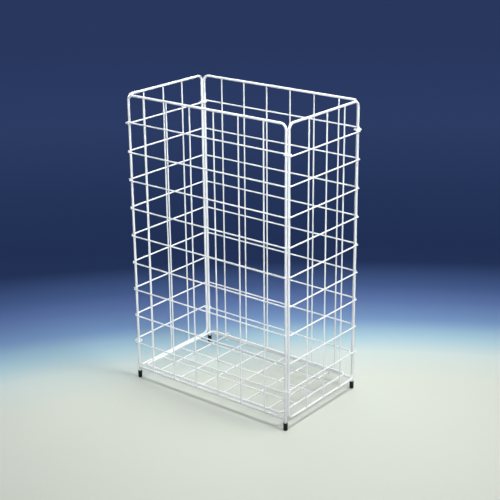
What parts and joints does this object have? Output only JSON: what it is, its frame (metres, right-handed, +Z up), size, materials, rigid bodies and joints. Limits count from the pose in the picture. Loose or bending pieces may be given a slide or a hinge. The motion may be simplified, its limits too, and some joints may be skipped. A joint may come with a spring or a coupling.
{
  "type": "wire wastepaper bin",
  "caption": "Tall rectangular folding bin of white coated wire mesh, open at the top, with a hinged wire bottom, hinge rings at the corners and black foot caps.",
  "frame": {"origin": "on the floor under the middle of the bin", "axes": "+X along the wide front to the right, +Y from the front to the back panel, +Z up"},
  "size_m": [0.4138, 0.2471, 0.6264],
  "materials": {
    "coated_wire": "glossy white dip coating on steel wire",
    "ring_wire": "white coated steel ring",
    "black_plastic": "soft black plastic with a faint sheen"
  },
  "bodies": {
    "walls": {"front_frame": "coated_wire", "front_bottom_rail": "coated_wire", "front_row_wires": "coated_wire", "front_column_wires": "coated_wire", "back_frame": "coated_wire", "back_bottom_rail": "coated_wire", "back_row_wires": "coated_wire", "back_column_wires": "coated_wire", "left_frame": "coated_wire", "left_row_wires": "coated_wire", "left_column_wires": "coated_wire", "right_frame": "coated_wire", "right_row_wires": "coated_wire", "right_column_wires": "coated_wire", "upper_ring_front_left": "ring_wire", "lower_ring_front_left": "ring_wire", "foot_cap_front_left": "black_plastic", "upper_ring_front_right": "ring_wire", "lower_ring_front_right": "ring_wire", "foot_cap_front_right": "black_plastic", "upper_ring_back_left": "ring_wire", "lower_ring_back_left": "ring_wire", "foot_cap_back_left": "black_plastic", "upper_ring_back_right": "ring_wire", "lower_ring_back_right": "ring_wire", "foot_cap_back_right": "black_plastic", "bottom_ring_left": "ring_wire", "bottom_ring_right": "ring_wire"},
    "bottom": {"bottom_frame": "coated_wire", "bottom_cross_wires": "coated_wire", "bottom_long_wires": "coated_wire"}
  },
  "joints": [
    {"name": "bottom_lift", "type": "hinge", "parent": "walls", "child": "bottom", "pos_m": [0, 0.1127, 0.03159], "axis": [-1, 0, 0], "range_deg": [0, 90]}
  ]
}
